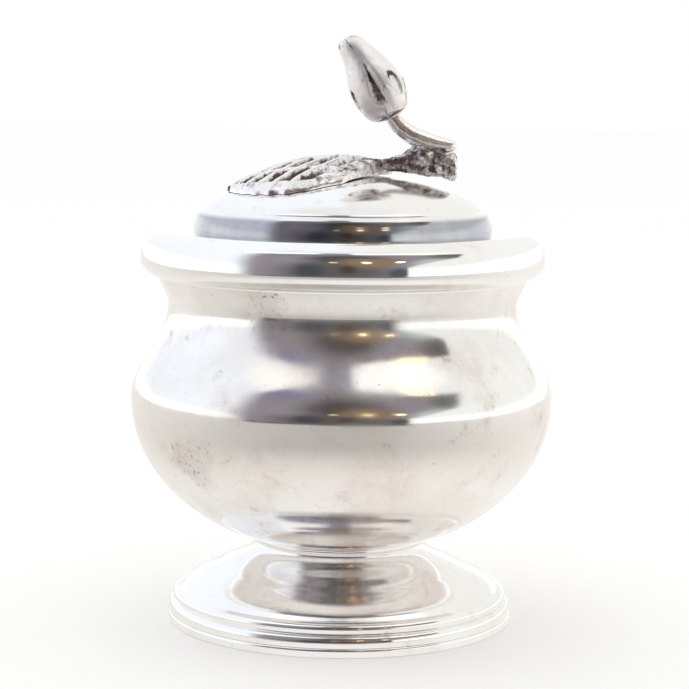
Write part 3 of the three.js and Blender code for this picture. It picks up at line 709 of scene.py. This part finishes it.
def leaf_blade():
    """A grid laid over the dome: its rows run out along the side veins, its underside is plain."""
    bm = bmesh.new()
    bmesh.ops.create_grid(bm, x_segments=vein_count * 18, y_segments=72, size=0.5)
    face = bmesh.ops.extrude_face_region(bm, geom=bm.faces[:])["geom"]
    for raised in (part for part in face if isinstance(part, bmesh.types.BMVert)):
        raised.co.z = 1
    patina_and_shade = bm.verts.layers.float.new("patina_and_shade")
    for vertex in bm.verts:
        share, side = 0.5 - vertex.co.x, 2 * vertex.co.y
        across = abs(side)
        spread = vein_spread_at_base + (vein_spread_at_tip - vein_spread_at_base) * share ** 2
        spread = math.radians(spread)
        reach = across * vein_reach(share) * (1 + 0.012 * math.cos(math.tau * vein_count * share))
        x = leaf_base - share * leaf_length - reach * math.cos(spread)
        y = math.copysign(reach * math.sin(spread), side) - leaf_sway * share
        top = vertex.co.z > 0.5
        lift, deep = leaf_relief(share, across) if top else (0, 0.1)
        if top:
            crumple = noise.fractal(Vector((x, y, 0)) * 380, 0.6, 2.1, 3)
            lift += (0.12 + 0.3 * eased(x, -4 * mm, 3 * mm)) * mm * crumple * eased(across, 0, 0.1)
            deep *= 0.75 + 0.75 * eased(-x, 0, 9 * mm)
            deep += 0.5 * eased(x, 3 * mm, 9 * mm) + 0.5 * abs(crumple) * eased(x, -5 * mm, 1 * mm)
        vertex[patina_and_shade] = min(1.3, deep)
        gap = leaf_gap * (1 - 0.7 * eased(across, 0.85, 1))
        vertex.co = (x, y, dome_height(math.hypot(x, y)) + gap + lift)
    bmesh.ops.remove_doubles(bm, verts=bm.verts[:], dist=0.001 * mm)
    bmesh.ops.recalc_face_normals(bm, faces=bm.faces[:])
    return bm


leaf_silver = aged_cast("silver_leaf", 0.5, 0.2)
finished("leaf_blade", leaf_blade(), leaf_silver, "lid", "leaf", crease=60)


# Stalk and twig: the leaf's stalk runs on into a stub of a twig with rough brown bark, which
# droops to its sawn end. The stem of the bud lies along the top of it.
twig_start = 13 * mm
twig_length = 11.4 * mm
twig_height = crease_height + dome_rise + 2.4 * mm
twig_drop = 0.8 * mm
twig_overlap = 0.6 * mm
saddle_height = twig_height + 2.35 * mm
stalk_radius = 1.4 * mm
stalk_length = 6 * mm
stalk_rise = 0.9 * mm


def rod(line, radius_at, sides=72, rings=60, surface=None):
    """A round rod along a line of points, whose radius changes on the way. A share of its length
    and the angle from its top give the surface more or less than that."""
    bm = turned([(0, 0)] + [(1, ring / rings) for ring in range(rings + 1)] + [(0, 1)], sides)
    for vertex in bm.verts:
        share = vertex.co.z
        centre, direction = line(share)
        angle = math.atan2(vertex.co.y, vertex.co.x)
        size = math.hypot(vertex.co.x, vertex.co.y) * radius_at(share)
        if surface:
            size *= surface(share, angle)
        up = Vector((-direction.z, 0, direction.x))
        vertex.co = centre + up * size * math.cos(angle) + Vector((0, 1, 0)) * size * math.sin(angle)
    bmesh.ops.recalc_face_normals(bm, faces=bm.faces[:])
    return bm


def with_patina_and_shade(bm, depth_at):
    """The bmesh with its patina and painted shade written on each vertex."""
    patina_and_shade = bm.verts.layers.float.new("patina_and_shade")
    for vertex in bm.verts:
        vertex[patina_and_shade] = depth_at(vertex.co)
    return bm


def stalk_line(share):
    """The stalk's middle line, a straight one that climbs to the twig."""
    start = Vector((twig_start - stalk_length, 0, twig_height - stalk_rise))
    end = Vector((twig_start, 0, twig_height))
    return start.lerp(end, share), (end - start).normalized()


def stalk_bark(share, angle):
    """Smooth metal that gets rough towards the twig."""
    rough = noise.fractal(Vector((share * 5, 2 * math.cos(angle), 2 * math.sin(angle))), 0.7, 2.1, 4)
    return 1 + 0.16 * rough * eased(share, 0.2, 0.6)


def stalk_width(share):
    """The stalk swells into the twig."""
    return stalk_radius * (1 + 0.35 * eased(share, 0.45, 1))


def bark_depth(point):
    """Bark that is dark in its furrows and rubbed paler here and there."""
    return 0.7 + 0.35 * noise.fractal(point * 330, 0.7, 2.2, 4)


def stalk_depth(point):
    """Bright metal that turns into bark towards the twig."""
    return bark_depth(point) * eased(point.x, 6.5 * mm, bark_start)


stalk = rod(stalk_line, stalk_width, surface=stalk_bark)
finished("leaf_stalk", with_patina_and_shade(stalk, stalk_depth), leaf_silver, "lid", crease=60)


def twig_line(share):
    """The twig's middle line, which arches a little and droops to its end."""
    arch = 0.45 * mm * math.sin(math.pi * share) - twig_drop * share ** 2
    along = twig_start - twig_overlap + share * (twig_length + twig_overlap)
    return Vector((along, 0, twig_height + arch)), Vector((1, 0, 0))


def twig_width(share):
    """The twig widens quickly from the stalk, and its sawn end is a little rounded off."""
    width = stalk_radius * 1.3 + 1.05 * mm * math.sin(math.pi * min(share * 1.4, 0.5))
    return width * (1 - 0.25 * eased(share, 0.96, 1))


def twig_bark(share, angle):
    """Knobs over the whole twig, with fine ridges of bark along it, and a lump of solder on top
    that runs up to the bud's stem."""
    knobs = 0.1 * math.sin(3 * angle + 5 * share) * math.sin(3 * math.pi * share)
    ridges = noise.fractal(Vector((share * 9, 3.1 * math.cos(angle), 3.1 * math.sin(angle))), 0.55, 2.2, 6)
    solder = 0.5 * math.exp(-((share - 0.36) / 0.17) ** 2) * max(0, math.cos(angle)) ** 3
    return 1 + knobs + 0.11 * ridges + solder


bark_silver = aged_cast("silver_bark", 0.6, 0.3)
twig = rod(twig_line, twig_width, sides=120, rings=90, surface=twig_bark)
finished("twig_bark", with_patina_and_shade(twig, bark_depth), bark_silver, "lid", "twig", crease=70)


# Stem: cast, and soldered to the twig, on which its flattened lower end lies. It rises from there
# in a curve and leans with the bud.
bud_lean = math.radians(29)
bud_axis = Vector((-math.sin(bud_lean), 0, math.cos(bud_lean)))
bud_base = Vector((twig_start - 2.5 * mm, 0, twig_height + 9.7 * mm))
stem_end = Vector((twig_start + 11.5 * mm, 0, twig_height + 3.7 * mm))
stem_top_radius = 1.66 * mm
stem_radius = 2.1 * mm
stem_end_radius = 1.1 * mm
stem_handles = (bud_base, bud_base - 4 * mm * bud_axis,
                Vector((stem_end.x - 7 * mm, 0, stem_end.z + 0.2 * mm)), stem_end)


def stem_line(share):
    """The stem's middle line and direction, from the bud down to the end on the twig."""
    a, b, c, d = stem_handles
    rest = 1 - share
    point = a * rest ** 3 + b * 3 * rest ** 2 * share + c * 3 * rest * share ** 2 + d * share ** 3
    slope = (b - a) * rest ** 2 + (c - b) * 2 * rest * share + (d - c) * share ** 2
    return point, slope.normalized()


def stem_width(share):
    """The stem is thickest halfway, thins out towards its lower end and is rounded off there."""
    rounding = math.sqrt(max(0.04, 1 - (max(0, share - 0.93) / 0.07) ** 2))
    if share < 0.5:
        return stem_top_radius + (stem_radius - stem_top_radius) * share * 2
    return (stem_radius + (stem_end_radius - stem_radius) * (share * 2 - 1) ** 2) * rounding


def stem_corner_shade(point):
    """Painted shade only, in the corner between stem and twig."""
    return 0.7 * (1 - eased(point.z, saddle_height, saddle_height + 1.2 * mm))


stem_silver = aged_cast("silver_stem", 0.4, 0.17)
stem = rod(stem_line, stem_width, sides=72, rings=72)
bmesh.ops.bisect_plane(stem, geom=stem.verts[:] + stem.edges[:] + stem.faces[:], dist=0.0001 * mm,
                       plane_co=(0, 0, saddle_height), plane_no=(0, 0, -1), clear_outer=True)
bmesh.ops.holes_fill(stem, edges=[edge for edge in stem.edges if edge.is_boundary], sides=0)
finished("stem_cast", with_patina_and_shade(stem, stem_corner_shade), stem_silver, "lid", "bud_stem", crease=60)


# Bud: a closed rosebud of three petals, full at its base and open at its blunt tip, which hooks
# over a little. Each petal's free edge stands proud of the next, with a cleft under it and a fold
# in its middle, and five short sepals hold them. Painted shade darkens each cleft, one side of the
# tip and the inside of its opening. It is cast and soldered to the stem.
bud_length = 19.75 * mm
bud_radius = 5.75 * mm
bud_hook = 1.0 * mm
petal_count = 3
petal_step = 0.6 * mm
cleft_depth = 0.7 * mm
fold_depth = 0.75 * mm
first_seam = math.radians(-82)
bud_twist = math.radians(16)
sepal_count = 5
sepal_rise = 0.25 * mm
bud_profile = [(stem_top_radius, 0), (0.78 * bud_radius, 0.09 * bud_length), (bud_radius, 0.31 * bud_length),
               (0.92 * bud_radius, 0.52 * bud_length), (0.66 * bud_radius, 0.75 * bud_length),
               (0.48 * bud_radius, 0.92 * bud_length), (0.3 * bud_radius, bud_length)]


def smooth_through(points, steps=12):
    """A smooth run through all the points."""
    run = [points[0]]
    for index in range(len(points) - 1):
        before = points[max(0, index - 1)]
        start, end = points[index], points[index + 1]
        after = points[min(len(points) - 1, index + 2)]
        first = tuple(s + (e - b) / 6 for s, e, b in zip(start, end, before))
        second = tuple(e - (a - s) / 6 for s, e, a in zip(start, end, after))
        run += curve(start, first, second, end, steps)
    return run


def bud_surface():
    """The turned bud with its petals and sepals raised on it."""
    bm = turned([(0, 0)] + smooth_through(bud_profile)
                + [(0.15 * bud_radius, 0.95 * bud_length), (0, 0.88 * bud_length)], 216)
    patina_and_shade = bm.verts.layers.float.new("patina_and_shade")
    sweep = math.tau / petal_count
    for vertex in bm.verts:
        height = vertex.co.z / bud_length
        radius = math.hypot(vertex.co.x, vertex.co.y)
        angle = math.atan2(vertex.co.y, vertex.co.x) % math.tau
        under = (angle % sweep) / sweep
        swell = math.sin(math.pi * min(1, max(0, height * 1.02)))
        edge = eased(under, 0, 0.13)
        step = petal_step * (1 - 0.6 * eased(height, 0.55, 0.75))
        relief = step * ((0.5 - under) * edge - 0.5 * (1 - edge)) * swell
        wide = 0.03 + 0.2 * (1 - eased(height, 0.24, 0.66))
        cleft = 1 - eased((1 - under) / wide, 0.45, 1.15)
        cleft *= eased(height, 0.17, 0.26) * (1 - eased(height, 0.5, 0.68))
        from_fold = math.hypot((under - 0.36) / 0.13, (height - 0.33) / 0.15)
        fold = 1 - eased(from_fold, 0.55, 1.1)
        relief -= cleft_depth * cleft + fold_depth * fold
        round_sepal = (angle * sepal_count / math.tau + 0.35) % 1
        sepal_height = 0.36 * (1 - abs(2 * round_sepal - 1) ** 1.5)
        sepal = eased(sepal_height - height, 0, 0.03) * eased(height, 0.01, 0.05)
        relief += sepal_rise * sepal
        turn = angle + first_seam - bud_twist * height
        size = radius + (relief if radius > stem_top_radius and vertex.co.z > 0.02 * bud_length else 0)
        hook = -bud_hook * (max(0, height - 0.6) / 0.4) ** 2
        inside_tip = radius < 0.29 * bud_radius and height > 0.5
        seam = math.exp(-(min(under, 1 - under) / 0.03) ** 2) * eased(height, 0.3, 0.4)
        outline = 2.4 * sepal * (1 - sepal) + 0.5 * (1 - eased(height, 0.02, 0.08))
        ring = 4 * fold * (1 - fold) * eased(height, 0.27, 0.4) + 0.25 * fold
        # Painted shade: the cleft under each free petal edge, one side of the tip and the inside of the tip's
        # opening are darkened as shade. The seams, the sepal outlines and the ring round the fold are
        # darkened too.
        shaded_tip = 0.9 * eased(height, 0.88, 0.96) * (0.5 - 0.5 * math.cos(turn + 1.2))
        deep = 0.1 + 1.1 * cleft + 0.9 * ring + 0.55 * seam + outline + shaded_tip
        vertex[patina_and_shade] = 1.0 if inside_tip else min(1.2, deep)
        vertex.co = (size * math.cos(turn) + hook, size * math.sin(turn), vertex.co.z)
    bmesh.ops.rotate(bm, verts=bm.verts[:], cent=(0, 0, 0), matrix=Matrix.Rotation(-bud_lean, 3, "Y"))
    bmesh.ops.translate(bm, verts=bm.verts[:], vec=bud_base)
    bmesh.ops.recalc_face_normals(bm, faces=bm.faces[:])
    return bm


bud_silver = aged_cast("silver_bud", 0.4, 0.42)
finished("bud_petals", bud_surface(), bud_silver, "lid", "bud", crease=60)


# Stud, washer and nut: turned brass fittings that hold the finial from inside the lid. They keep
# the shapes of the solids, and only their finish is made here.
def dull_brass(name):
    """Turned brass, gone a little dull and brown."""
    material = bpy.data.materials.new(name)
    nodes, link, shader = node_links(material, "ShaderNodeBsdfPrincipled")
    shader.inputs["Metallic"].default_value = 1.0
    place = nodes.new("ShaderNodeTexCoord").outputs["Object"]
    dull = cloud(nodes, link, place, 400, 4, 0.6, 0.35, 0.7)
    link(blended(nodes, link, dull, (0.72, 0.53, 0.24), (0.45, 0.31, 0.15)), shader.inputs["Base Color"])
    link(stretched(nodes, link, dull, 0, 1, 0.28, 0.5), shader.inputs["Roughness"])
    return material


brass = dull_brass("brass_fittings")
for fitting in ("finial_stud", "finial_washer", "finial_nut"):
    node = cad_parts[fitting]
    node.data.materials.clear()
    node.data.materials.append(brass)
